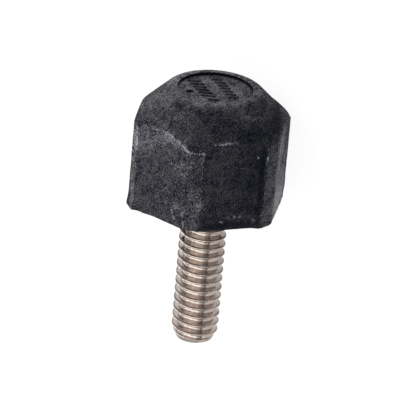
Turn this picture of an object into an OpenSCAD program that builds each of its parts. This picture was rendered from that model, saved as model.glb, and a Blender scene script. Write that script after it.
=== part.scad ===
// Thumb-sized impeller screw: a hexagonal plastic head moulded round a stainless bolt
// with a left-hand thread. It lies on one flat of its head, axis along X, tip at -X.
// Origin: on the axis, in the plane of the head's underside.

/* [Head] */
// Width across two opposite flats
across_flats = 19.5; // [18:0.1:22]
// Width across two opposite corner facets
across_facets = 21.3; // [20.8:0.1:21.6]
// Height from the underside to the rim
head_h = 16.2; // [14:0.1:19]
// Slope of the cone that tops the hexagon, from the flat rim
cone_angle = 45; // [40:1:50]
// Diameter at which the cone would meet the rim if that edge were sharp
rim_d = 12.3; // [11.6:0.1:13]
// Radius that rounds the rim into the cone
rim_round = 1.6; // [0.6:0.1:1.8]
// Break along the bottom edges
edge_break = 0.2; // [0.1:0.05:0.6]

/* [Recess] */
// Diameter of the recess inside the rim
recess_d = 9.9; // [8:0.1:10]
// Depth of the recess
recess_depth = 0.4; // [0.3:0.05:1.2]
// Height of the raised bars on its floor
bar_h = 0.15; // [0.1:0.05:0.25]
// Diameter of the gate mark in its floor
gate_d = 0.9; // [0.5:0.1:1.2]

/* [Stud] */
// Major diameter of the thread, 1/4 inch less its allowance
thread_d = 6.3; // [6:0.05:8]
// Pitch of the thread, 20 to the inch
pitch = 1.27; // [1:0.01:1.5]
// How far the thread is turned, clockwise seen from the head
thread_turn = 66; // [0:1:359]
// Length from the head's underside to the tip
stud_len = 20.3; // [15:0.1:30]
// Diameter of the bolt's plain body, which ends in a short neck under the head
body_d = 6.35; // [6.35:0.05:8.1]
// Length of that neck below the underside
neck_len = 1.0; // [0.5:0.1:2]
// Length over which the groove fades out into the neck
fade_len = 0.9; // [0.5:0.1:1.5]
// Diameter of the flat end
tip_d = 5.0; // [4.4:0.1:5.6]
// Length of the tapered lead at the tip
lead_len = 1.45; // [0.8:0.05:2]

/* [Insert] */
// Length of the body inside the head
grip_len = 5.1; // [4:0.1:6]
// Width across flats of the bolt head inside the plastic, 7/16 inch
bolt_flats = 11.1; // [10:0.1:12]
// Height of the bolt head
bolt_h = 4.0; // [3:0.1:5]

/* [Hidden] */
$fn = 96;
eps = 0.01;

head_r = across_flats / 2;
facet_r = across_facets / 2;
rim_r = rim_d / 2;
thread_r = thread_d / 2;
// The body stays a little wider than the thread, so that nothing overhangs the seat
body_r = max(body_d / 2, thread_r + 0.02);
bolt_corner_r = bolt_flats / 2 / cos(30);

// Rim rounding: where it leaves the flat, and its centre
round_in = rim_round * tan(cone_angle / 2);
round_centre = [rim_r - round_in, head_h - rim_round];
// Height of the cone at a given radius
function cone_z(r) = head_h - (r - rim_r) * tan(cone_angle);

// Recess floor, and how the marks on it are turned and spaced
recess_floor = head_h - recess_depth;
mark_turn = -50;
ladder_step = [0.38, -0.9];
bar_w = 0.4;

// One pitch of the thread as [height, depth], both in pitches, from crest to crest:
// a crest an eighth wide, 30 degree flanks and a root rounded below a quarter-wide flat
thread_form = [
    [-1/16, 0],
    [1/16, 0],
    [3/8, 5/8 * sin(60)],
    [1/2, 17/24 * sin(60)],
    [5/8, 5/8 * sin(60)]
];
// Angular steps to a turn, and turns, with one to spare at each end
steps = 36;
turns = ceil((stud_len - neck_len) / pitch) + 2;
form_n = len(thread_form);
rungs = turns * form_n;

// Point number g up the column at step i. The thread is left-handed: it falls as the
// angle grows, seen from the head. Before it is turned, a crest meets the underside's
// plane at angle 0.
function thread_point(i, g) =
    let (
        form = thread_form[g % form_n],
        r = thread_r - pitch * form[1],
        a = 360 * i / steps,
        z = pitch * (floor(g / form_n) - turns + 1 + form[0] - i / steps)
    )
    [r * cos(a), r * sin(a), z];

// Column i meets column i + 1, and the last meets the first one pitch further down
function at(i, g) = i < steps ? i * (rungs + 1) + g : g - form_n;

// A threaded rod, longer than needed at both ends, as one closed helical surface
module thread_rod() {
    wall = [
        for (i = [0 : steps - 1], g = [0 : rungs - 1])
            if (i < steps - 1 || g >= form_n)
                for (tri = [
                    [at(i, g), at(i + 1, g + 1), at(i + 1, g)],
                    [at(i, g), at(i, g + 1), at(i + 1, g + 1)]
                ]) tri
    ];
    low_rim = concat(
        [for (i = [0 : steps - 1]) at(i, 0)],
        [for (g = [1 : form_n]) at(steps - 1, g)]
    );
    high_rim = concat(
        [for (i = [0 : steps - 1]) at(i, rungs)],
        [for (g = [rungs - form_n : rungs - 1]) at(0, g)]
    );
    low_hub = steps * (rungs + 1);
    high_hub = low_hub + 1;
    rim_n = len(low_rim);
    caps = [
        for (k = [0 : rim_n - 1])
            let (next = (k + 1) % rim_n)
            for (tri = [
                [low_hub, low_rim[k], low_rim[next]],
                [high_hub, high_rim[next], high_rim[k]]
            ]) tri
    ];
    points = concat(
        [for (i = [0 : steps - 1], g = [0 : rungs]) thread_point(i, g)],
        [[0, 0, pitch * (0.5 - turns)], [0, 0, pitch * 0.5]]
    );
    polyhedron(points, concat(wall, caps), convexity = 10);
}

// The thread's length as a turned blank a little wider than the thread, with a tapered
// lead at the tip
module thread_blank() {
    slope = (thread_r - tip_d / 2) / lead_len;
    wide = thread_r + 0.4;
    rotate_extrude()
        polygon([
            [0, -stud_len],
            [tip_d / 2, -stud_len],
            [wide, -stud_len + (wide - tip_d / 2) / slope],
            [wide, -neck_len + 0.2],
            [0, -neck_len + 0.2]
        ]);
}

// The neck's lower end: a cone in the groove, on which the thread fades out
module thread_fade() {
    root = thread_r - pitch * thread_form[3][1];
    translate([0, 0, -neck_len - fade_len])
        cylinder(r1 = root - 0.1, r2 = body_r, h = fade_len + eps);
}

// The part of the bolt that the plastic grips: its plain body and a hexagonal bolt head
module gripped_bolt(low) {
    translate([0, 0, low]) cylinder(r = body_r, h = grip_len + eps - low);
    intersection() {
        translate([0, 0, grip_len])
            cylinder(r = bolt_corner_r, h = bolt_h, $fn = 6);
        translate([0, 0, grip_len - eps])
            rotate_extrude()
                polygon([
                    [0, 0],
                    [bolt_corner_r + 1, 0],
                    [bolt_corner_r + 1, bolt_h - 1.4],
                    [bolt_flats / 2 - 0.4, bolt_h + eps],
                    [0, bolt_h + eps]
                ]);
    }
}

// Regular hexagon with its flats facing 0, 60, 120... and its corners cut to narrow facets
module hexagon() {
    intersection() {
        rotate(30) circle(r = head_r / cos(30), $fn = 6);
        circle(r = facet_r / cos(30), $fn = 6);
    }
}

// Half section of the flat rim, its rounded edge and the cone below it
module dome_section() {
    wide = facet_r + 2;
    tangent = round_centre + rim_round * [sin(cone_angle), cos(cone_angle)];
    intersection() {
        translate([0, -1]) square([wide, head_h + 1]);
        union() {
            polygon([
                [0, -1],
                [wide, -1],
                [wide, cone_z(wide)],
                tangent,
                round_centre,
                [round_centre[0], head_h],
                [0, head_h]
            ]);
            translate(round_centre) circle(r = rim_round);
        }
    }
}

// Wedges that break the bottom edge under each flat and each corner facet
module bottom_breaks() {
    for (k = [0 : 5]) {
        rotate(60 * k) translate([head_r - edge_break, 0, 0]) break_wedge();
        rotate(60 * k + 30) translate([facet_r - edge_break, 0, 0]) break_wedge();
    }
}

module break_wedge() {
    rotate([0, -45, 0]) translate([0, -across_flats / 2, -3]) cube([3, across_flats, 3]);
}

// A slanting ladder of plain raised bars on the recess floor, in place of mould marks
module ladder(start, bars, bar_len) {
    for (k = [0 : bars - 1])
        translate(concat(start + k * ladder_step, recess_floor + (bar_h - eps) / 2))
            cube([bar_len, bar_w, bar_h + eps], center = true);
}

module mould_marks() {
    rotate(mark_turn) {
        ladder([-2.8, 2.5], 6, 2);
        ladder([0.2, 3.5], 7, 1.5);
        ladder([-0.15, -3.2], 1, 1.6);
    }
}

// The round scar that the moulding gate left beside the bars
module gate_mark() {
    rotate(mark_turn) translate([-3.35, -0.9, recess_floor - 0.3]) cylinder(d = gate_d, h = 1);
}

module head_body() {
    difference() {
        intersection() {
            linear_extrude(head_h) hexagon();
            rotate_extrude() dome_section();
        }
        bottom_breaks();
        translate([0, 0, recess_floor]) cylinder(d = recess_d, h = recess_depth + 1);
        gate_mark();
        gripped_bolt(-1);
    }
    mould_marks();
}

// Turns the screw from head up to lying on a flat, head towards +X
module lie() {
    rotate([0, 90, 0]) children();
}

module moulded_head() {
    color("#2b2b30") lie() head_body();
}

module threaded_stud() {
    color("#b3a99d") lie() {
        intersection() {
            rotate(-thread_turn) thread_rod();
            thread_blank();
        }
        thread_fade();
        gripped_bolt(-neck_len);
    }
}

moulded_head();
threaded_stud();
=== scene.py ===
# Impeller screw: a black hexagonal plastic head moulded round a stainless bolt with a
# left-hand thread, lying on one flat of its head on a pale studio floor.
# Sizes in the dictionaries are millimetres and degrees; the scene itself is in metres.

import math

import bmesh
import bpy
from mathutils import Matrix, Vector, noise


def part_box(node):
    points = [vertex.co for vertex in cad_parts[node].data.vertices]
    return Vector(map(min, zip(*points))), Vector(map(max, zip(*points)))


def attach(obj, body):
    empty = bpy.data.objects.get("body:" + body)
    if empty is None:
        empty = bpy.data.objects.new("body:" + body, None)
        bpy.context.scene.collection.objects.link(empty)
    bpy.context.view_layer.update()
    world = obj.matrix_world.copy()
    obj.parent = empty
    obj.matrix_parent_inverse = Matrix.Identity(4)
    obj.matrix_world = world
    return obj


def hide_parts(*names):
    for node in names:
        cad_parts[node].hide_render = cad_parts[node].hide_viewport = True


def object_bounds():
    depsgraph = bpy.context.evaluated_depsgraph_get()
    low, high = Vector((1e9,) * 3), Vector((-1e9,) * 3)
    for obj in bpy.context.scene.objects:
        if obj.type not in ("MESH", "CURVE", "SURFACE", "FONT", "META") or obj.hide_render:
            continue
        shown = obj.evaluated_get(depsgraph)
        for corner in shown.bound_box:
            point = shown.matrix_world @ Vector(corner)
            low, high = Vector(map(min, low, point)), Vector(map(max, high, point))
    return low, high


mm = 0.001

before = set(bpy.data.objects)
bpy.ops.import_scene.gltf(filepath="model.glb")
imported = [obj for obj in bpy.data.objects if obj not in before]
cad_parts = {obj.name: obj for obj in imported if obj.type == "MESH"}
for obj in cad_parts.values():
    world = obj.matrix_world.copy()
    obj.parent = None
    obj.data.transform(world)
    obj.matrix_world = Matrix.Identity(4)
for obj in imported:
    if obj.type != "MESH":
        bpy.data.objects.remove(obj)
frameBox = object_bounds()
headLow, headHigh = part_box("moulded_head")
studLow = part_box("threaded_stud")[0]
print("frame loaded:", sorted(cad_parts))


def lie(x, y, z):
    # from head up, in millimetres, to lying on a flat with the head towards +X, in metres
    return Vector((z, y, -x)) * mm


def feed(node, values):
    # sets a node's inputs, each to a constant or to what another node gives
    for name, value in values.items():
        if isinstance(value, Wire):
            value.tree.links.new(value.socket, node.inputs[name])
        else:
            node.inputs[name].default_value = value


class Wire:
    # a socket that can be added, multiplied and so on, or fed into any other node

    def __init__(self, socket):
        self.socket = socket
        self.tree = socket.id_data

    def node(self, kind, inputs=None, output=0, **settings):
        made = self.tree.nodes.new(kind)
        for name, value in settings.items():
            setattr(made, name, value)
        feed(made, inputs or {})
        return Wire(made.outputs[output])

    def then(self, kind, inputs=None, **settings):
        # the next node for the same geometry
        return self.node(kind, {"Geometry": self, **(inputs or {})}, **settings)

    def beside(self, output):
        # another output of the node that this wire comes from
        return Wire(self.socket.node.outputs[output])

    def maths(self, operation, *others):
        values = dict(enumerate((self, *others)))
        return self.node("ShaderNodeMath", values, operation=operation)

    def __add__(self, other):
        return self.maths("ADD", other)

    __radd__ = __add__

    def __sub__(self, other):
        return self.maths("SUBTRACT", other)

    def __rsub__(self, other):
        return self * -1.0 + other

    def __mul__(self, other):
        return self.maths("MULTIPLY", other)

    __rmul__ = __mul__

    def __truediv__(self, other):
        return self.maths("DIVIDE", other)

    def __rtruediv__(self, other):
        return self.maths("POWER", -1.0) * other

    def lowest(self, other):
        return self.maths("MINIMUM", other)

    def highest(self, other):
        return self.maths("MAXIMUM", other)

    def between(self, low, high):
        # 0 below low, 1 above high, smooth in between
        values = {"Value": self, "From Min": low, "From Max": high}
        return self.node("ShaderNodeMapRange", values, interpolation_type="SMOOTHSTEP")

    def within(self, start, full, fade, end):
        # 0 up to start, 1 from full to fade, 0 again past end
        return self.between(start, full) * (1.0 - self.between(fade, end))

    def blend(self, first, second):
        # mixes two colours, with this value as the factor
        values = {0: self, 6: first, 7: second}
        return self.node("ShaderNodeMix", values, output=2, data_type="RGBA", clamp_factor=True)

    def attribute(self, name):
        # a value that the mesh holds at each point
        return self.node("ShaderNodeAttribute", output="Fac", attribute_name=name)

    def noise(self, size, detail=2.0, roughness=0.5, stretch=(1, 1, 1), shift=0.0):
        # noise with features of about this size in millimetres, at this wire's coordinates
        placed = self.node(
            "ShaderNodeMapping",
            {"Vector": self, "Location": (shift, -shift, shift), "Scale": stretch},
            vector_type="POINT",
        )
        return self.node("ShaderNodeTexNoise", {
            "Vector": placed,
            "Scale": 1 / (size * mm),
            "Detail": detail,
            "Roughness": roughness,
        })

    def centred(self, share):
        # noise about 0 in place of 0.5, and this much stronger
        return (self - 0.5) * share


def newMaterial(name):
    # a material, with its surface shader and the object's coordinates
    material = bpy.data.materials.new(name)
    material.use_nodes = True
    shader = material.node_tree.nodes["Principled BSDF"]
    coordinates = material.node_tree.nodes.new("ShaderNodeTexCoord")
    return material, shader, Wire(coordinates.outputs["Object"])


plastic = {
    "black": (0.0018, 0.0035, 0.0085, 1),
    "dustAndPaintedLight": (0.185, 0.178, 0.204, 1),
    "scratchAndPaintedLight": (0.27, 0.27, 0.31, 1),
    "patches": {"size": 2.6, "detail": 2},
    "mottle": {"size": 0.8, "detail": 3, "roughness": 0.6, "shift": 3.1},
    "grain": {"size": 0.175, "detail": 1.5, "roughness": 0.55, "shift": 7.7},
    # how much each of the three counts in the speckle of dust
    "patchShare": 0.9,
    "mottleShare": 1.2,
    "grainShare": 3.2,
    # the levels of the speckle from which and to which dust, smooth grains and shine set in
    "dustLevels": (-0.80, 1.40),
    "grainLevels": (-1.1, 0.9),
    "sheenLevels": (-0.5, 1.1),
    "sheen": 1.1,  # how much dusty grains shine; the pits between them stay dull
    "cleanSheen": 0.35,  # of that, what grains without dust have
    "mostSheen": 0.95,
    # how much a scuff counts beside the grain, the levels of both at which it shows, and how
    # strong it has to be to show at all; the painted highlights among the scuffs show the same way
    "scuffShare": 1.4,
    "scuffLevels": (0.35, 1.35),
    "scuffStrengths": (0.04, 0.22),
    "roughness": 0.42,
    "pitRoughness": 0.5,  # added between the grains
    "scuffPolish": 0.06,  # taken off where a scuff rubbed them smooth
    "gloss": 0.04,
    "bump": 0.05,
    "grainHeight": 0.7,
    "mottleHeight": 0.3,
}


def makePlastic():
    material, shader, place = newMaterial("dustyBlackPlasticWithPaintedLight")
    scuffAndPaintedLight, dustingAndPaintedLight = place.attribute("scuffAndPaintedLight"), place.attribute("dustingAndPaintedLight")
    patches, mottle, grain = (place.noise(**plastic[k]) for k in ("patches", "mottle", "grain"))

    # a speckle of dust everywhere, thicker in patches and where it settled or was left; the
    # same marks carry painted light where more is added and painted shade where it is taken off
    fine = grain.centred(plastic["grainShare"]) + mottle.centred(plastic["mottleShare"])
    speckle = fine + patches.centred(plastic["patchShare"])
    dustAndPaintedLight = speckle.between(*plastic["dustLevels"]) * dustingAndPaintedLight
    pits = 1.0 - speckle.between(*plastic["grainLevels"])
    sheen = (dustingAndPaintedLight + plastic["cleanSheen"]) * plastic["sheen"]
    sheen = (speckle.between(*plastic["sheenLevels"]) * sheen).lowest(plastic["mostSheen"])
    # a scuff brightens the tops of the grains first, and so do the painted highlights among the
    # scuffs
    rubbedAndPaintedLight = (scuffAndPaintedLight * plastic["scuffShare"] + fine).between(*plastic["scuffLevels"])
    rubbedAndPaintedLight = rubbedAndPaintedLight * scuffAndPaintedLight.between(*plastic["scuffStrengths"])

    colour = dustAndPaintedLight.blend(plastic["black"], plastic["dustAndPaintedLight"])
    colour = rubbedAndPaintedLight.blend(colour, plastic["scratchAndPaintedLight"])
    roughness = plastic["roughness"] + pits * plastic["pitRoughness"]
    normal = place.node("ShaderNodeBump", {
        "Strength": 1.0,
        "Distance": plastic["bump"] * mm,
        "Height": grain * plastic["grainHeight"] + mottle * plastic["mottleHeight"],
    })
    feed(shader, {
        "Base Color": colour,
        "Roughness": roughness - rubbedAndPaintedLight * plastic["scuffPolish"],
        "Specular IOR Level": plastic["gloss"],
        "Coat Weight": sheen,
        "Coat Roughness": plastic["roughness"],
        "Normal": normal,
    })
    return material


steel = {
    "bright": (0.65, 0.567, 0.518, 1),
    "worn": (0.427, 0.358, 0.312, 1),
    "grimeAndShade": (0.055, 0.043, 0.036, 1),
    # rolling leaves streaks that run round the stud, so they are fine along it only
    "streaks": {"size": 0.16, "detail": 3, "roughness": 0.6, "stretch": (1, 0.16, 0.16)},
    "blotches": {"size": 1.1, "detail": 3, "roughness": 0.55, "shift": 2.3},
    "pits": {"size": 0.42, "detail": 2, "roughness": 0.5, "shift": 5.9},
    "specks": {"size": 0.12, "detail": 2, "roughness": 0.6, "shift": 3.1},
    # how worn the steel is on the whole, and how much each of these counts in it
    "wear": 0.4,
    "streakShare": 1.1,
    "blotchShare": 0.9,
    "speckShare": 1.6,
    # grime sits in deep pits; the thin line beside each crest is painted shade and grime
    "pitLevels": (0.70, 0.80),
    "pitBlotches": 0.5,
    "lineShadeAndGrime": 0.6,
    "lineBlotches": 1.8,
    # painted shade: the line is darker on the upper side
    "upperPaintedShade": 0.45,  # more on the upper side, from none to all of it at these heights
    "upperHeights": (2.3, 2.75),
    "mostLineShadeAndGrime": 0.9,
    "grimeAndShadeCover": 0.8,
    # painted shade on the flanks that face the tip
    "tipSideShadeStrength": 0.35,  # it dulls the flanks that face the tip
    "grimeMatt": 0.7,
    "roughness": 0.17,
    "blotchRoughness": 0.2,
    "grimeRoughness": 0.3,
    "bump": 0.012,
    "bumpStrength": 0.6,
    "pitHeight": 0.5,
}


def makeSteel():
    material, shader, place = newMaterial("warmStainlessSteel")
    kinds = ("streaks", "blotches", "pits", "specks")
    streaks, blotches, pits, specks = (place.noise(**steel[k]) for k in kinds)
    tone = streaks.centred(steel["streakShare"]) + blotches.centred(steel["blotchShare"])
    tone = tone + specks.centred(steel["speckShare"]) + steel["wear"]
    colour = tone.between(0.0, 1.0).blend(steel["bright"], steel["worn"])

    grimeAndShade = (pits + blotches.centred(steel["pitBlotches"])).between(*steel["pitLevels"])
    height = place.node("ShaderNodeSeparateXYZ", {0: place}, output="Z")
    low, high = steel["upperHeights"]
    upper = height.between(low * mm, high * mm) * steel["upperPaintedShade"]
    held = upper + steel["lineShadeAndGrime"] + blotches.centred(steel["lineBlotches"])
    line = (place.attribute("groove") * held).lowest(steel["mostLineShadeAndGrime"])
    grimeAndShade = grimeAndShade.highest(line)
    # the grime colour darkens the pits, and paints shade in the line beside each crest and on the
    # flanks that face the tip
    cover = (grimeAndShade * steel["grimeAndShadeCover"]).highest(place.attribute("tipSideShade") * steel["tipSideShadeStrength"])
    colour = cover.blend(colour, steel["grimeAndShade"])
    roughness = steel["roughness"] + blotches.centred(steel["blotchRoughness"])
    normal = place.node("ShaderNodeBump", {
        "Strength": steel["bumpStrength"],
        "Distance": steel["bump"] * mm,
        "Height": streaks + (pits + specks) * steel["pitHeight"],
    })
    feed(shader, {
        "Base Color": colour,
        "Metallic": 1.0 - grimeAndShade * steel["grimeMatt"],
        "Roughness": roughness + grimeAndShade * steel["grimeRoughness"],
        "Normal": normal,
    })
    return material


plasticMaterial = makePlastic()
steelMaterial = makeSteel()
print("materials made")


def newTree(name, inputs):
    # a Geometry Nodes tree with named inputs, given as name: (socket type, value)
    tree = bpy.data.node_groups.new(name, "GeometryNodeTree")
    for label, (kind, value) in inputs.items():
        socket = tree.interface.new_socket(label, in_out="INPUT", socket_type=kind)
        if kind != "NodeSocketMaterial":
            socket.default_value = value
    tree.interface.new_socket("Geometry", in_out="OUTPUT", socket_type="NodeSocketGeometry")
    group = tree.nodes.new("NodeGroupInput")
    return tree, {label: Wire(group.outputs[label]) for label in inputs}


def closeTree(tree, geometry, material):
    # ends a tree with real faces that carry their material
    geometry = geometry.then("GeometryNodeRealizeInstances")
    geometry = geometry.then("GeometryNodeSetMaterial", {"Material": material})
    end = tree.nodes.new("NodeGroupOutput")
    tree.links.new(geometry.socket, end.inputs[0])


def meshFrom(tree, name, values):
    # runs a tree with these input values and returns the plain mesh that it makes
    holder = bpy.data.objects.new(name, bpy.data.meshes.new(name))
    bpy.context.scene.collection.objects.link(holder)
    modifier = holder.modifiers.new(name, "NODES")
    modifier.node_group = tree
    for item in tree.interface.items_tree:
        if item.in_out == "INPUT" and item.name in values:
            modifier[item.identifier] = values[item.name]
    bpy.context.view_layer.update()
    evaluated = holder.evaluated_get(bpy.context.evaluated_depsgraph_get())
    mesh = bpy.data.meshes.new_from_object(evaluated)
    mesh.name = name
    bpy.data.objects.remove(holder)
    return mesh


def wrap(bm, rings):
    # joins closed rings of points with quads; a ring of a single point closes a pole
    made = [[bm.verts.new(p) for p in ring] for ring in rings]
    for one, two in zip(made, made[1:]):
        n = max(len(one), len(two))
        for i in range(n):
            j = (i + 1) % n
            corners = [one[i % len(one)], one[j % len(one)], two[j % len(two)], two[i % len(two)]]
            bm.faces.new(list(dict.fromkeys(corners)))


def arc(centre, rounding, start, end):
    # points of an arc after the first, from one angle to another
    radius, steps = rounding
    angles = (math.radians(start + (end - start) * k / steps) for k in range(1, steps + 1))
    return [(centre[0] + radius * math.cos(a), centre[1] + radius * math.sin(a)) for a in angles]


def spread(first, last, steps):
    # evenly spaced points after the first, up to the last
    return [
        tuple(a + (b - a) * k / steps for a, b in zip(first, last)) for k in range(1, steps + 1)
    ]


def roundRing(radius, z, turns):
    # a circle's points at these turns, at height z
    return [lie(radius * math.cos(turn), radius * math.sin(turn), z) for turn in turns]


def hexagonRing(half, z, turns):
    # the same on a hexagon, from half its width across flats
    ring = []
    for turn in turns:
        across = (turn + math.pi / 6) % (math.pi / 3) - math.pi / 6
        ring += roundRing(half / math.cos(across), z, [turn])
    return ring


def finishPiece(name, mesh, material):
    # a smooth piece of one material
    mesh.materials.clear()
    mesh.materials.append(material)
    for face in mesh.polygons:
        face.use_smooth = True
        face.material_index = 0
    piece = bpy.data.objects.new(name, mesh)
    bpy.context.scene.collection.objects.link(piece)
    print(name, len(mesh.polygons), "faces")
    return piece


stud = {
    "pitch": 1.27,
    "turned": 66 / 360,  # of a turn; at 0 a crest would meet the underside at the lower flat
    "majorDiameter": 6.3,
    "bodyDiameter": 6.35,
    "length": -studLow.x / mm,
    "neckLength": 1.0,
    "fadeLength": 0.9,
    "tipDiameter": 5.0,
    "leadLength": 1.45,
    # in pitches: the crest, the root, and how far both are rounded
    "crestWidth": 1 / 8,
    "rootDepth": 0.55,
    "soften": 0.06,
    "flankAngle": 30,  # from square to the axis
    # in pitches past a crest: where each sets in, is full, starts to fade and has gone
    "shadeAndGrimeLineSpan": (0.02, 0.06, 0.11, 0.17),
    "tipSideShadeSpan": (0.62, 0.68, 0.86, 0.92),
    "columns": 96,
    "rowsPerPitch": 32,
    "evenAbove": 0.2,  # how far into the neck the rows keep their even steps
    "startAbove": 0.3,  # how much higher still the first row starts, at its lowest
    "longer": 24,  # past that, how much is added to each step, in steps
    "extraRows": 33,
    "tipSteps": (0.02, 0.12, 0.86),  # of the tip's radius, how far the last rows step in
    "merge": 0.0006,  # points nearer than this become one
    "gripLength": 5.1,
    "boltFlats": 11.1,
    "boltHeight": 4.0,
    "boltChamfer": 0.9,
    "boltFaceInset": 0.4,
    "boltSeatInset": 0.2,
    "boltColumns": 48,
    "clearance": 0.01,  # between the plastic and the bolt
}


def threadForm(given, height, turn):
    # the threaded rod's radius, with the painted shade in the line beside each crest and on the
    # flanks facing the tip
    phase = height / given["Pitch"] + turn + given["Turned"]
    past = phase - phase.maths("FLOOR")
    threaded = height.maths("LESS_THAN", given["Neck Length"] * -1.0)
    marks = {
        "groove": past.within(*stud["shadeAndGrimeLineSpan"]) * threaded,
        "tipSideShade": past.within(*stud["tipSideShadeSpan"]) * threaded,
    }
    # depth below the crest, from the distance to the nearest crest in pitches
    offset = (phase - phase.maths("ROUND")).maths("ABSOLUTE")
    steepness = math.tan(math.radians(90 - stud["flankAngle"]))
    flank = (offset - given["Crest Width"] / 2) * steepness
    depth = flank.maths("SMOOTH_MIN", given["Root Depth"], given["Soften"])
    depth = depth.maths("SMOOTH_MAX", 0.0, given["Soften"])
    return given["Thread Radius"] - depth * given["Pitch"], marks


def threadEnds(given, radius, height, row):
    # the lead tapers the tip, and a cone fills the groove towards the neck
    tip, wide, body = given["Tip Radius"], given["Thread Radius"], given["Body Radius"]
    rise = (wide - tip) / given["Lead Length"]
    radius = radius.lowest(tip + (height + given["Length"]) * rise)
    root = wide - given["Root Depth"] * given["Pitch"]
    faded = (height + given["Neck Length"] + given["Fade Length"]) / given["Fade Length"]
    radius = radius.highest((root + (body - root) * faded).lowest(body))
    # the first and last rows are the centres of the ends, and two rings keep the tip flat
    radius = radius * row.maths("GREATER_THAN", 0.5)
    left = given["Rows"] - row
    for number, inward in enumerate(stud["tipSteps"]):
        radius = radius - tip * inward * left.maths("LESS_THAN", 2.5 - number)
    return radius.highest(0)


def makeThreadTree(sizes):
    # A sheet whose rows follow the helix, rolled up round the axis. Rows that would pass
    # either end stop there, and the merge closes the seam and the two ends.
    inputs = {
        name: ("NodeSocketInt" if isinstance(size, int) else "NodeSocketFloat", size)
        for name, size in sizes.items()
    }
    inputs["Steel"] = ("NodeSocketMaterial", None)
    tree, given = newTree("leftHandThread", inputs)
    pitch, neck = given["Pitch"], given["Neck Length"]

    sheet = pitch.node("GeometryNodeMeshGrid", {
        "Size X": 1.0,
        "Size Y": 1.0,
        "Vertices X": given["Rows"] + 1,
        "Vertices Y": given["Columns"] + 1,
    })
    position = pitch.node("GeometryNodeInputPosition")
    along = position.node("ShaderNodeSeparateXYZ", {0: position})
    row = ((along + 0.5) * given["Rows"]).maths("ROUND")
    turn = along.beside("Y") + 0.5

    # height along the axis: even steps over the thread and a little of the neck, then long
    # ones in the plain body, so that the first rows all end at its top
    start = pitch - neck + stud["evenAbove"] + stud["startAbove"]
    sheared = start - row * pitch / given["Rows Per Pitch"] - turn * pitch
    above = (sheared + neck - stud["evenAbove"]).highest(0) * stud["longer"]
    height = (sheared + above).lowest(given["Grip Length"]).highest(given["Length"] * -1)

    radius, marks = threadForm(given, height, turn)
    radius = threadEnds(given, radius, height, row)
    angle = turn * math.tau
    point = pitch.node("ShaderNodeCombineXYZ", {
        "X": height * mm,
        "Y": radius * angle.maths("SINE") * mm,
        "Z": radius * angle.maths("COSINE") * -mm,
    })
    for name, value in marks.items():
        sheet = sheet.then(
            "GeometryNodeStoreNamedAttribute",
            {"Name": name, "Value": value},
            data_type="FLOAT",
            domain="POINT",
        )
    sheet = sheet.then("GeometryNodeSetPosition", {"Position": point})
    sheet = sheet.then("GeometryNodeMergeByDistance", {"Distance": stud["merge"] * mm})
    closeTree(tree, sheet.then("GeometryNodeSetShadeSmooth"), given["Steel"])
    return tree


def addBoltHead(bm):
    # the hexagonal bolt head that the plastic grips, and that nothing shows from outside
    half, low = stud["boltFlats"] / 2, stud["gripLength"]
    high = low + stud["boltHeight"]
    turns = [math.tau * k / stud["boltColumns"] for k in range(stud["boltColumns"])]
    wrap(bm, [
        [lie(0, 0, low)],
        roundRing(half - stud["boltSeatInset"], low, turns),
        hexagonRing(half, low, turns),
        hexagonRing(half, high - stud["boltChamfer"], turns),
        roundRing(half - stud["boltFaceInset"], high, turns),
        [lie(0, 0, high)],
    ])


def makeStud():
    # enough rows for the length and their slant over one turn; those left over end at the tip
    turns = (stud["length"] + stud["pitch"]) / stud["pitch"]
    sizes = {
        "Pitch": stud["pitch"],
        "Turned": stud["turned"],
        "Thread Radius": stud["majorDiameter"] / 2,
        "Body Radius": stud["bodyDiameter"] / 2,
        "Length": stud["length"],
        "Neck Length": stud["neckLength"],
        "Fade Length": stud["fadeLength"],
        "Tip Radius": stud["tipDiameter"] / 2,
        "Lead Length": stud["leadLength"],
        "Crest Width": stud["crestWidth"],
        "Root Depth": stud["rootDepth"],
        "Soften": stud["soften"],
        "Grip Length": stud["gripLength"],
        "Rows Per Pitch": stud["rowsPerPitch"],
        "Rows": int(turns * stud["rowsPerPitch"]) + stud["extraRows"],
        "Columns": stud["columns"],
    }
    mesh = meshFrom(makeThreadTree(sizes), "boltThread", {**sizes, "Steel": steelMaterial})
    bm = bmesh.new()
    bm.from_mesh(mesh)
    addBoltHead(bm)
    bmesh.ops.recalc_face_normals(bm, faces=bm.faces)
    bm.to_mesh(mesh)
    bm.free()
    return finishPiece("threadedBolt", mesh, steelMaterial)


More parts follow.
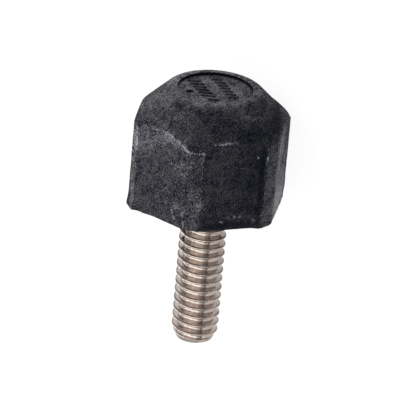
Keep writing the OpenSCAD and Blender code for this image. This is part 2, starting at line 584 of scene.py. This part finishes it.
head = {
    "acrossFlats": (headHigh.z - headLow.z) / mm,
    "acrossFacets": (headHigh.y - headLow.y) / mm,
    "height": headHigh.x / mm,
    "coneAngle": 45.0,
    "rimDiameter": 12.3,
    "recessDiameter": 9.9,
    "recessDepth": 0.4,
    # roundings, each as its radius and its steps
    "cornerRound": (0.3, 4),  # between a flat and a corner facet
    "rimRound": (1.6, 10),
    "shoulderRound": (0.22, 4),  # where the cone cuts the flats and facets
    "bottomRound": (0.06, 3),
    "lipRound": (0.14, 4),
    "floorRound": (0.1, 3),
    "boreBreak": 0.06,  # the bevel at the bore's mouth
    "boreRing": 2.5,  # the height of one more ring inside it
    "gate": (-3.35, -0.9),
    "gateDiameter": 0.9,
    "gateDepth": 0.3,
    "markTurn": -50.0,
    # dents along the edges: how deep, and how far from each edge they reach
    "unevenness": 0.03,
    "cornerReach": 0.35,
    "shoulderReach": 0.4,
    "bottomReach": 0.35,
    "wornPastRecess": 0.5,  # no wear on the rim nearer to the recess than this
    "dentNoise": ((1.1, 1.0), (2.7, 0.6)),  # each as how fine and how strong
    "meanDent": 0.5,
    "mostDent": 1.4,
    "dentDown": 0.6,  # how much a dent in the shoulder also goes down, beside inwards
    "settleFrom": (0.40, 0.12, 0.90),  # dust settled on what faces this way
    "leastDust": 0.28,
    "mostDust": 0.6,
    "topDust": 0.75,  # more of it lies on the rim and in the recess
    "topDustPast": 0.6,  # how far past the rim's edge it ends
    "topDustFade": 0.8,  # and over what width it fades before that
    # painted shade: how near the recess's wall and the gate's middle no dust lies, which leaves
    # them dark, and how deep that goes
    "shadedWall": 0.05,
    "shadedGate": 0.5,
    "shadedDepth": 0.5,
    "flatSteps": 50,
    "facetSteps": 12,
    "wallSteps": 72,
    "coneSteps": 26,
    "floorSteps": 30,
    "lipSteps": 3,
    "underSteps": 8,
    "centreRing": 0.02,
}
recessFloor = head["height"] - head["recessDepth"]
wornFrom = head["recessDiameter"] / 2 + head["wornPastRecess"]

# Places on the head are (turn, height): degrees round the axis from the lower flat
# towards +Y, and millimetres above the underside. Scuffs are bright rubbed lines, and a few
# of them are painted highlights and painted light. Dusting is added dust, or dust wiped off
# where it is negative, and some of its marks are painted light and painted shade; these are
# marked where they stand. Each mark is its path, half its width and its strength.
scuffsAndPaintedLight = [
    ([(182, 12.4), (186, 12.5), (191, 12.15), (196, 11.9), (200, 11.65), (204.5, 11.15)], 0.26, 0.68),
    ([(204.5, 11.15), (209, 11.1), (214.5, 11.3)], 0.2, 0.55),
    ([(215, 11.3), (216, 11.2)], 0.2, 0.5),
    ([(186, 12.45), (190, 12.2)], 0.2, 0.5),
    ([(199, 11.7), (203, 11.3)], 0.2, 0.45),
    ([(152, 11.3), (160, 12.1), (172, 12.4), (182, 12.4)], 0.25, 0.3),
    ([(152.5, 11.3), (154, 9.6), (154, 8.4)], 0.30, 0.4),
    ([(203.4, 9.7), (208, 9.8), (209, 9.4), (205, 9.0)], 0.12, 0.45),
    ([(191, 8.6), (199, 8.8), (204, 7.6)], 0.8, 0.25),
    ([(178, 5.6), (180, 5.0)], 0.25, 0.3),
    ([(182.5, 4.1), (186, 4.9), (191.5, 5.0), (194.5, 5.2)], 0.12, 0.4),
    ([(203.3, 5.8), (203.6, 4.7)], 0.2, 0.45),
    ([(215.4, 11.0), (215.4, 5.2)], 0.2, 0.25),
    ([(213.5, 5.0), (215.4, 4.4), (215.5, 2.9)], 0.2, 0.4),
    ([(192.3, 2.4), (194, 1.7), (196.5, 0.8)], 0.12, 0.75),
    ([(196.4, 2.9), (200, 2.9), (204, 2.4)], 0.5, 0.3),
    ([(203.4, 2.0), (204.8, 0.5)], 0.18, 0.4),
    ([(217, 12.1), (223, 12.4), (232.5, 12.5), (240, 12.6)], 0.15, 0.48),
    ([(227, 12.45), (229, 12.45)], 0.2, 0.4),
    ([(232, 12.5), (233, 12.5)], 0.22, 0.7),
    ([(265, 10.1), (265, 9.8)], 0.18, 0.8),
    ([(265.2, 9.4), (265.2, 9.2)], 0.15, 0.6),
    ([(265.2, 5.2), (265.3, 4.1)], 0.12, 0.6),
    ([(265.4, 3.8), (265.4, 2.6), (263.6, 1.8), (261, 1.6)], 0.12, 0.45),
    ([(257.4, 10.3), (257.8, 10.3)], 0.2, 0.6),
    ([(253.2, 9.3), (253.8, 9.2)], 0.15, 0.5),
    ([(234, 9.2), (242, 9.0), (250.5, 8.8)], 0.12, 0.35),
    ([(237, 1.7), (242, 1.75), (249, 1.85)], 0.12, 0.5),
    ([(242.8, 1.9), (243.4, 1.9)], 0.14, 0.9),
    ([(145, 8.3), (148.5, 8.25)], 0.13, 1.0),
    ([(145, 7.5), (148.5, 7.4)], 0.13, 1.0),
    ([(145, 6.6), (148.5, 6.3)], 0.14, 0.8),
    # a painted highlight along the edge between the right facet and the side flat
    ([(286.0, 0.8), (286.3, 11.2)], 0.14, 0.45),
    ([(232, 1.3), (232.6, 1.2)], 0.16, 1.1),
    ([(258.3, 1.1), (259, 1.0)], 0.22, 0.7),
    ([(150, 1.0), (150, 5.0), (150, 10.5)], 0.7, 0.3),
    ([(283, 8.0), (286, 10.5), (296, 11.0)], 0.9, 0.25),
    ([(282, 1.5), (283, 5.0), (284, 8.0)], 0.5, 0.3),
    # painted light on the lower side flat, standing in for light bounced from the floor
    ([(292, 1.0), (300, 3.0), (310, 6.0)], 1.6, 0.52),
]
dustingAndPaintedLight = [
    ([(149, 9.7), (158, 10.2), (168, 10.6), (177, 11.2)], 1.4, 0.8),
    ([(183, 12.2), (190, 11.9), (197, 11.5), (205, 10.9)], 0.5, 0.9),
    # painted shade along the bottom of the right-front flat
    ([(219, 0.7), (256, 0.7)], 0.7, -0.25),
    ([(208, 0.4), (213, 0.4), (213, 1.8)], 0.6, 0.4),
    # painted shade on the narrow facet at the left
    ([(148, 1.0), (148, 9.0)], 0.9, -0.3),
    # a painted highlight along the side flat's edge, and painted shade along the right outline
    ([(287, 0.8), (287, 11.3)], 0.55, 0.9),
    ([(306, 2.8), (306, 12.0)], 1.1, -0.6),
    ([(140, 13.8), (150, 14.0), (165, 14.2)], 1.3, 0.35),
    ([(142, 15.2), (160, 15.3)], 0.9, 0.65),
    ([(165, 16.2), (187, 16.2), (205, 16.2)], 0.8, 0.4),
    ([(181, 15.4), (182.5, 14.9)], 0.5, -0.4),
    ([(184, 14.7), (185, 14.4)], 0.5, 0.4),
    ([(209, 4.7), (214, 4.3), (215, 3.0)], 0.8, 0.6),
    ([(210, 1.5), (210, 4.0)], 0.8, 0.25),
    # painted light on the side flat, standing in for light bounced from the floor
    ([(300, 2.0), (300, 10.0)], 3.4, 1.15),
    # painted shade on the dome above the side flat
    ([(284, 13.0), (296, 13.6), (310, 13.8)], 1.1, -0.55),
    ([(20, 16.2), (60, 16.2), (100, 16.2), (128, 16.2)], 0.8, 1.2),
    ([(196.4, 2.8), (204, 2.5)], 0.8, 0.3),
    ([(209, 8.0), (209, 10.0)], 1.2, -0.03),
    # painted shade on the dome's lower right
    ([(250, 13.2), (270, 12.8), (290, 12.8)], 1.3, -0.2),
    ([(255, 14.9), (275, 14.9)], 0.9, 0.25),
    # painted shade on the right-front flat
    ([(254, 3.0), (254, 11.0)], 1.3, -0.17),
    ([(269, 1.0), (269, 11.0)], 0.85, 0.36),
    ([(283.5, 1.0), (283.5, 11.2)], 0.3, -0.3),
    # painted shade along the right-front flat's right edge
    ([(262, 1.0), (262, 11.5)], 0.5, -0.3),
    # painted light on the side flat, standing in for light bounced from the floor
    ([(285, 6.5), (300, 5.5)], 1.8, 0.45),
    ([(290, 1.5), (305, 2.0)], 2.0, 2.2),
    ([(145, 8.7), (149, 8.65)], 0.15, -1.6),
    ([(145, 7.9), (149, 7.8)], 0.15, -1.6),
    ([(145, 7.1), (149, 7.0)], 0.14, -1.6),
    ([(145, 5.8), (149, 5.7)], 0.14, -1.6),
]
# knocks and mould flash, each as its path, half its width, and how far it pushes the
# surface out and down
bulges = [
    ([(332, 12.2), (340, 12.6), (350, 12.8)], 0.9, 0.20, 0.0),
    ([(138, 0.0), (146, 0.0), (155, 0.0), (165, 0.0)], 1.1, 0.10, 0.12),
    ([(146, 0.0), (155, 0.0)], 0.7, 0.12, 0.2),
    ([(262, 0.0), (272, 0.0)], 0.6, 0.12, 0.12),
    ([(147.5, 8.3), (147.5, 8.0)], 0.25, -0.14, 0.0),
    ([(147.4, 7.1), (147.4, 6.6)], 0.3, -0.14, 0.0),
    ([(147.2, 5.9), (147.2, 5.8)], 0.2, -0.1, 0.0),
    ([(320, 0.0), (326, 0.5)], 0.7, -0.10, 0.0),
    ([(140, 16.0), (158, 16.0), (172, 16.0)], 0.7, 0.08, 0.0),
]


def near(gap, reach):
    # 1 at no gap, fading to 0 beyond this reach
    return math.exp(-((gap / reach) ** 2))


def sideDistance(side):
    # from the axis to one of the twelve sides, which are flats and corner facets in turn
    return (head["acrossFlats"] if side % 2 == 0 else head["acrossFacets"]) / 2


def surfacePoint(turn, z):
    # a point of the outside, from its turn and height
    a = math.radians(turn)
    # the nearest side in this direction; the limit of 0.5 keeps out those that face away
    wall = min(
        sideDistance(side) / max(0.5, math.cos(a - math.radians(30 * side)))
        for side in range(12)
    )
    slope = math.tan(math.radians(head["coneAngle"]))
    cone = head["rimDiameter"] / 2 + (head["height"] - z) / slope
    return roundRing(min(wall, cone), z, [a])[0]


def nearness(point, path, width):
    # 1 on a path over the surface, fading to 0 beyond its width
    gaps = []
    for one, two in zip(path, path[1:]):
        along = two - one
        t = max(0.0, min(1.0, (point - one).dot(along) / along.length_squared))
        gaps.append((point - one - along * t).length)
    return near(min(gaps), width * mm)


def paths(marks):
    # the same marks, with their places as points and a ball round all that they reach
    placed = []
    for places, width, *strengths in marks:
        path = [surfacePoint(*place) for place in places]
        middle = sum(path, Vector()) / len(path)
        reach = max((point - middle).length for point in path) + 2.5 * width * mm
        placed.append((path, width, strengths, middle, reach))
    return placed


def total(point, placed, which=0):
    # what all marks add up to at a point
    return sum(
        strengths[which] * nearness(point, path, width)
        for path, width, strengths, middle, reach in placed
        if (point - middle).length < reach
    )


def wallColumns():
    # the twelve-sided outline with its corners rounded: (radius, turn, nearness to a corner)
    r, bends = head["cornerRound"]
    points = []
    for side in range(12):
        here, after = sideDistance(side), sideDistance(side + 1)
        turn = math.radians(30 * side)
        # half the length of this side, up to where its corners start to round
        reach = (after - here * math.cos(math.pi / 6)) / math.sin(math.pi / 6)
        straight = reach - r * math.tan(math.pi / 12)
        steps = head["flatSteps"] if side % 2 == 0 else head["facetSteps"]
        for k in range(steps):
            along = -straight + 2 * straight * k / steps
            points.append((here, along, turn, straight - abs(along)))
        for k in range(bends):
            bend = math.radians(30 * k / bends)
            points.append((here - r + r * math.cos(bend), straight + r * math.sin(bend), turn, 0))
    columns = []
    for out, along, turn, gap in points:
        x = out * math.cos(turn) - along * math.sin(turn)
        y = out * math.sin(turn) + along * math.cos(turn)
        columns.append((math.hypot(x, y), math.atan2(y, x), near(gap, head["cornerReach"])))
    return columns


def headSection(wide):
    # half section through one column, from the recess floor's centre over the rim and down
    # to the underside: (radius, height, nearness to the shoulder, to the bottom, is wall)
    high, angle = head["height"], head["coneAngle"]
    slope = math.radians(angle)
    rim, recess = head["rimDiameter"] / 2, head["recessDiameter"] / 2
    rounded, lip, inner, shoulder, bottom = (
        head[k + "Round"][0] for k in ("rim", "lip", "floor", "shoulder", "bottom")
    )
    section = [(head["centreRing"], recessFloor)]
    section += spread(section[0], (recess - inner, recessFloor), head["floorSteps"])
    section += arc((recess - inner, recessFloor + inner), head["floorRound"], -90, 0)
    section += spread((recess, recessFloor + inner), (recess, high - lip), head["lipSteps"])
    section += arc((recess + lip, high - lip), head["lipRound"], 180, 90)
    inset = rounded * math.tan(slope / 2)
    section += spread((recess + lip, high), (rim - inset, high), head["lipSteps"])
    section += arc((rim - inset, high - rounded), head["rimRound"], 90, 90 - angle)
    # the shoulder: where the cone meets this column's wall
    meet = high - (wide - rim) * math.tan(slope)
    back = shoulder * math.tan((math.pi / 2 - slope) / 2)
    start = (wide - back * math.cos(slope), meet + back * math.sin(slope))
    section += spread(section[-1], start, head["coneSteps"])
    topCount = len(section)
    section += arc((wide - shoulder, meet - back), head["shoulderRound"], 90 - angle, 0)
    section += spread(section[-1], (wide, bottom), head["wallSteps"])
    wallEnd = len(section)
    section += arc((wide - bottom, bottom), head["bottomRound"], 0, -90)
    bore, broken = stud["bodyDiameter"] / 2 + stud["clearance"], head["boreBreak"]
    section += spread(section[-1], (bore + broken, 0), head["underSteps"])
    section += [(bore, broken / 2)]
    points = []
    for number, (r, z) in enumerate(section):
        shoulderNear, bottomNear = 0.0, 0.0
        if r > rim:
            shoulderNear = near(math.hypot(r - wide, z - meet), head["shoulderReach"])
            bottomNear = near(math.hypot(r - wide, z), head["bottomReach"])
        points.append((r, z, shoulderNear, bottomNear, topCount < number < wallEnd))
    return points


def fromMarks(x, y):
    # from the slant of the mould marks to the head's own x and y
    turn = math.radians(head["markTurn"])
    return x * math.cos(turn) - y * math.sin(turn), x * math.sin(turn) + y * math.cos(turn)


def wear(x, y, z, edge, shoulder, knocks):
    # how far a point of the outside moves out and down: moulding and wear leave the edges a
    # little uneven, always inwards, and knocks are added to that
    place = Vector((x, y, z))
    rough = head["meanDent"]
    for rate, strength in head["dentNoise"]:
        rough += strength * noise.noise(place * rate)
    dent = head["unevenness"] * edge * max(0, min(head["mostDent"], rough))
    out = total(lie(x, y, z), knocks) - dent
    down = total(lie(x, y, z), knocks, 1)
    return out, down + (dent * head["dentDown"] if shoulder > 0.1 else 0)


def outsideRings(columns):
    # from the recess floor's centre over the rim and down to the bore
    sections = [headSection(column[0]) for column in columns]
    gateX, gateY = fromMarks(*head["gate"])
    knocks = paths(bulges)
    rings = [[lie(0, 0, recessFloor)]]
    for level in range(len(sections[0])):
        points = []
        for (wide, turn, corner), section in zip(columns, sections):
            r, z, shoulder, bottom, isWall = section[level]
            x, y = r * math.cos(turn), r * math.sin(turn)
            out, down = 0.0, 0.0
            if r > wornFrom:
                edge = max(shoulder, bottom, corner if isWall else 0)
                out, down = wear(x, y, z, edge, shoulder, knocks)
            # the gate mark is a round dish in the recess floor
            gap = math.hypot(x - gateX, y - gateY) / (head["gateDiameter"] / 2)
            onFloor = abs(z - recessFloor) < 0.01
            if gap < 1 and onFloor:
                down += head["gateDepth"] * (1 - gap**4) ** 0.5
            point = lie(x * (1 + out / r), y * (1 + out / r), z - down)
            # nothing reaches below the lower flat, which lies on the floor
            point.z = max(point.z, headLow.z)
            points.append(point)
        rings.append(points)
    return rings


def pocketRings(columns):
    # the bore and the pocket inside the plastic, which hold the bolt
    turns = [column[1] for column in columns]
    gap, low = stud["clearance"], stud["gripLength"]
    bore, half = stud["bodyDiameter"] / 2 + gap, stud["boltFlats"] / 2 + gap
    high = low + stud["boltHeight"] + gap
    return [
        roundRing(bore, head["boreRing"], turns),
        roundRing(bore, low, turns),
        hexagonRing(half, low, turns),
        hexagonRing(half, high - stud["boltChamfer"], turns),
        roundRing(half - stud["boltFaceInset"], high, turns),
        [lie(0, 0, high)],
    ]


def paintHead(bm, scuffAndLightLayer, dustAndLightLayer):
    # scuffs, dust, and painted light and shade at each vertex, for the plastic's material
    scuffAndLightPaths, dustAndLightPaths = paths(scuffsAndPaintedLight), paths(dustingAndPaintedLight)
    gateX, gateY = fromMarks(*head["gate"])
    settle = Vector(head["settleFrom"]).normalized()
    rim, recess = head["rimDiameter"] / 2, head["recessDiameter"] / 2
    for vertex in bm.verts:
        height = vertex.co.x / mm
        r = math.hypot(vertex.co.y, vertex.co.z) / mm
        vertex[scuffAndLightLayer] = total(vertex.co, scuffAndLightPaths)
        # dust settles on what faces up, and on the top it lies up to the rim's edge
        facing = max(0, vertex.normal.dot(settle)) ** 2
        dustAndPaintedLight = head["leastDust"] + (head["mostDust"] - head["leastDust"]) * facing
        inside = max(0, min(1, (rim + head["topDustPast"] - r) / head["topDustFade"]))
        # the listed marks add dust, painted light and painted shade
        dustAndPaintedLight += total(vertex.co, dustAndLightPaths)
        dustAndPaintedLight += head["topDust"] * inside * max(0, vertex.normal.x) ** 3
        # the recess's wall and the gate mark get no dust, as painted shade: a dark line round
        # the recess and a dark gate dish
        fromGate = (lie(gateX, gateY, height) - vertex.co).length / mm
        shaded = abs(r - recess) < head["shadedWall"] or fromGate < head["shadedGate"]
        inRecess = r < wornFrom and height > recessFloor - head["shadedDepth"]
        vertex[dustAndLightLayer] = 0 if shaded and inRecess else max(0, dustAndPaintedLight)


bar = {
    "step": (0.38, -0.9),
    "width": 0.36,
    "height": 0.15,
    "sunk": 0.05,  # how far below the recess floor each starts
    "cornerShare": 0.3,  # of its width, how far its corners are rounded
    "cornerSteps": 3,
    "topShare": 0.86,  # its top's size beside its foot's
    "dustAndPaintedLight": 0.45,
}
ladders = [
    {"Bars": 6, "Start": (-2.8, 2.5, 0), "Bar Length": 2.0},
    {"Bars": 7, "Start": (0.2, 3.5, 0), "Bar Length": 1.5},
    {"Bars": 1, "Start": (-0.15, -3.2, 0), "Bar Length": 1.6},
]


def makeBarTree():
    # a slanting ladder of low raised bars
    inputs = {
        "Bars": ("NodeSocketInt", 3),
        "Start": ("NodeSocketVector", (0, 0, 0)),
        "Step": ("NodeSocketVector", (0, 0, 0)),
        "Bar Length": ("NodeSocketFloat", 1.0),
        "Bar Width": ("NodeSocketFloat", 1.0),
        "Bar Height": ("NodeSocketFloat", 1.0),
        "Plastic": ("NodeSocketMaterial", None),
    }
    tree, given = newTree("mouldBars", inputs)
    bars, width = given["Bars"], given["Bar Width"]
    places = bars.node("GeometryNodeMeshLine", {
        "Count": bars, "Start Location": given["Start"], "Offset": given["Step"],
    })
    outline = bars.node("GeometryNodeCurvePrimitiveQuadrilateral", {
        "Width": given["Bar Length"], "Height": width,
    })
    outline = bars.node("GeometryNodeFilletCurve", {
        "Curve": outline, "Count": bar["cornerSteps"], "Radius": width * bar["cornerShare"],
    }, mode="POLY")
    face = bars.node("GeometryNodeFillCurve", {"Curve": outline}, mode="NGONS")
    raised = bars.node("GeometryNodeExtrudeMesh", {
        "Mesh": face, "Offset Scale": given["Bar Height"], "Individual": False,
    }, mode="FACES")
    raised = raised.then("GeometryNodeScaleElements", {
        "Selection": raised.beside("Top"), "Scale": bar["topShare"],
    })
    ladder = bars.node("GeometryNodeInstanceOnPoints", {"Points": places, "Instance": raised})
    closeTree(tree, ladder, given["Plastic"])
    return tree


def addBars(bm, dustAndLightLayer):
    # the ladders of bars on the recess floor, dusty on top, with their sides left dark as painted
    # shade
    tree = makeBarTree()
    for number, ladder in enumerate(ladders):
        mesh = meshFrom(tree, f"ladder{number}", {
            **ladder,
            "Step": (*bar["step"], 0),
            "Bar Width": bar["width"],
            "Bar Height": bar["height"] + bar["sunk"],
            "Plastic": plasticMaterial,
        })
        for vertex in mesh.vertices:
            x, y = fromMarks(vertex.co.x, vertex.co.y)
            vertex.co = lie(x, y, recessFloor - bar["sunk"] + vertex.co.z)
        before = len(bm.verts)
        bm.from_mesh(mesh)
        bm.verts.ensure_lookup_table()
        for vertex in bm.verts[before:]:
            onTop = vertex.co.x / mm > recessFloor + bar["height"] / 2
            vertex[dustAndLightLayer] = bar["dustAndPaintedLight"] if onTop else 0.0
    # they come without undersides, just below the floor
    bmesh.ops.holes_fill(bm, edges=[edge for edge in bm.edges if edge.is_boundary])


def makeHead():
    bm = bmesh.new()
    scuffAndLightLayer = bm.verts.layers.float.new("scuffAndPaintedLight")
    dustAndLightLayer = bm.verts.layers.float.new("dustingAndPaintedLight")
    columns = wallColumns()
    wrap(bm, outsideRings(columns) + pocketRings(columns))
    bmesh.ops.recalc_face_normals(bm, faces=bm.faces)
    bm.normal_update()
    paintHead(bm, scuffAndLightLayer, dustAndLightLayer)
    addBars(bm, dustAndLightLayer)
    bmesh.ops.recalc_face_normals(bm, faces=bm.faces)
    mesh = bpy.data.meshes.new("mouldedHead")
    bm.to_mesh(mesh)
    bm.free()
    return finishPiece("mouldedHead", mesh, plasticMaterial)


headPiece = makeHead()
studPiece = makeStud()
for piece, node, slot in (
    (headPiece, "moulded_head", "head_plastic"),
    (studPiece, "threaded_stud", "stud_steel"),
):
    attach(piece, "root")
    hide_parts(node)
    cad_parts[node].data.materials.clear()
    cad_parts[node].data.materials.append(piece.data.materials[0])
print("head and bolt made")


studio = {
    "floorSize": 5.0,  # in metres, as are all sizes of the studio
    "floorWhite": 0.92,  # what the camera sees of the floor, without its shading
    "floorShade": 0.15,
    "floorColour": 0.88,
    "surroundings": 0.45,
    "floorReflected": 0.25,  # how much of that white reflections see
    "skyReflected": 0.3,
    "boxes": [
        # name, direction, distance, size, brightness
        ("keyBox", (0.60, 0.50, 0.62), 1.2, 1.0, 1.8),
        ("overheadBox", (-0.34, -0.49, 0.79), 1.2, 1.0, 1.03),
        ("tipBox", (-0.66, 0.18, 0.71), 1.2, 0.9, 1.25),
        ("backBox", (-0.35, 0.93, 0.04), 1.2, 0.8, 2.8),
    ],
    "flags": [
        # name, centre, faces, width, height, grey: cards beside the set, out of sight
        ("sideFlag", (0, -0.60, 0.07), (0, 0, 0.07), 1.8, 0.15, 0.24),
        ("headFlag", (0.70, 0, 0.16), (0, 0, 0.16), 1.2, 0.34, 0.30),
    ],
}


def rectangle(name, width, height, place, material):
    # a flat sheet about the origin, moved by a matrix
    bm = bmesh.new()
    bmesh.ops.create_grid(bm, x_segments=1, y_segments=1, size=0.5)
    for vertex in bm.verts:
        vertex.co = place @ Vector((vertex.co.x * width, vertex.co.y * height, 0))
    mesh = bpy.data.meshes.new(name)
    bm.to_mesh(mesh)
    bm.free()
    mesh.materials.append(material)
    sheet = bpy.data.objects.new(name, mesh)
    bpy.context.scene.collection.objects.link(sheet)
    return sheet


def grey(level):
    return (level, level, level, 1)


def directlySeen(tree, reflected):
    # 1 to the camera, less to it in a reflection or through glass, and 0 to anything lit
    rays = Wire(tree.nodes.new("ShaderNodeLightPath").outputs["Is Camera Ray"])
    mirrored = rays.beside("Is Glossy Ray").highest(rays.beside("Is Transmission Ray"))
    return rays.highest(mirrored * reflected)


def makeFloor():
    material = bpy.data.materials.new("paleFloor")
    material.use_nodes = True
    tree = material.node_tree
    tree.nodes.clear()
    seen = directlySeen(tree, studio["floorReflected"])
    lit = seen.node("ShaderNodeBsdfDiffuse", {"Color": grey(studio["floorColour"])})
    faint = seen.node("ShaderNodeBsdfDiffuse", {"Color": grey(studio["floorShade"])})
    white = seen.node("ShaderNodeEmission", {
        "Color": grey(1), "Strength": studio["floorWhite"],
    })
    shown = seen.node("ShaderNodeAddShader", {0: faint, 1: white})
    mixed = seen.node("ShaderNodeMixShader", {0: seen, 1: lit, 2: shown})
    end = tree.nodes.new("ShaderNodeOutputMaterial")
    tree.links.new(mixed.socket, end.inputs["Surface"])
    level = Matrix.Translation((0, 0, frameBox[0].z))
    floor = rectangle("studioFloor", studio["floorSize"], studio["floorSize"], level, material)


def makeWorld():
    world = bpy.data.worlds.new("paleStudio")
    world.use_nodes = True
    bpy.context.scene.world = world
    tree = world.node_tree
    tree.nodes.clear()
    seen = directlySeen(tree, studio["skyReflected"])
    strength = studio["surroundings"] + seen * (1 - studio["surroundings"])
    light = seen.node("ShaderNodeBackground", {"Color": grey(1), "Strength": strength})
    end = tree.nodes.new("ShaderNodeOutputWorld")
    tree.links.new(light.socket, end.inputs["Surface"])


def aim(place, target):
    # rotation that turns -Z from a place towards a target
    return (Vector(target) - Vector(place)).to_track_quat("-Z", "Y").to_euler()


def makeLights():
    for name, direction, distance, size, brightness in studio["boxes"]:
        data = bpy.data.lights.new(name, "AREA")
        data.shape = "SQUARE"
        data.size = size
        # a square's power for this radiance
        data.energy = brightness * math.pi * size**2
        lamp = bpy.data.objects.new(name, data)
        lamp.location = Vector(direction).normalized() * distance
        lamp.rotation_euler = aim(lamp.location, (0, 0, 0))
        bpy.context.scene.collection.objects.link(lamp)


def makeFlags():
    for name, centre, faces, width, height, level in studio["flags"]:
        material = bpy.data.materials.new(name + "Card")
        material.use_nodes = True
        feed(material.node_tree.nodes["Principled BSDF"], {
            "Base Color": grey(level), "Roughness": 1.0, "Specular IOR Level": 0.0,
        })
        place = Matrix.Translation(centre) @ aim(centre, faces).to_matrix().to_4x4()
        flag = rectangle(name, width, height, place, material)
        flag.visible_camera = False


camera = {
    "towardsHead": 25.0,  # from square to the axis
    "aroundAxis": 39.2,  # from straight above, towards -Y
    "roll": 5.0,
    "distance": 700.0,
    "lens": 454.6,
    "aimSide": 0.29,  # the aimed point from the origin, across and up the picture
    "aimUp": -1.26,
    "sensorWidth": 36,
    "clip": (0.05, 10),  # in metres
}


def makeCamera():
    angles = ("towardsHead", "aroundAxis", "roll")
    tilt, around, roll = (math.radians(camera[k]) for k in angles)
    # the direction towards the camera, and across and up its picture
    away = Vector((
        math.sin(tilt), -math.cos(tilt) * math.sin(around), math.cos(tilt) * math.cos(around),
    ))
    level = Vector((0, -math.cos(around), -math.sin(around)))
    rise = away.cross(level)
    across = level * math.cos(roll) + rise * math.sin(roll)
    up = rise * math.cos(roll) - level * math.sin(roll)
    target = (across * camera["aimSide"] + up * camera["aimUp"]) * mm
    place = target + away * camera["distance"] * mm

    data = bpy.data.cameras.new("studioCamera")
    data.lens = camera["lens"]
    data.sensor_width = camera["sensorWidth"]
    data.clip_start, data.clip_end = camera["clip"]
    seen = bpy.data.objects.new("studioCamera", data)
    turned = Matrix((across, up, away)).transposed()
    seen.matrix_world = Matrix.Translation(place) @ turned.to_4x4()
    bpy.context.scene.collection.objects.link(seen)
    bpy.context.scene.camera = seen


makeFloor()
makeWorld()
makeLights()
makeFlags()
makeCamera()
bpy.context.scene.view_settings.view_transform = "Standard"
print("studio made")
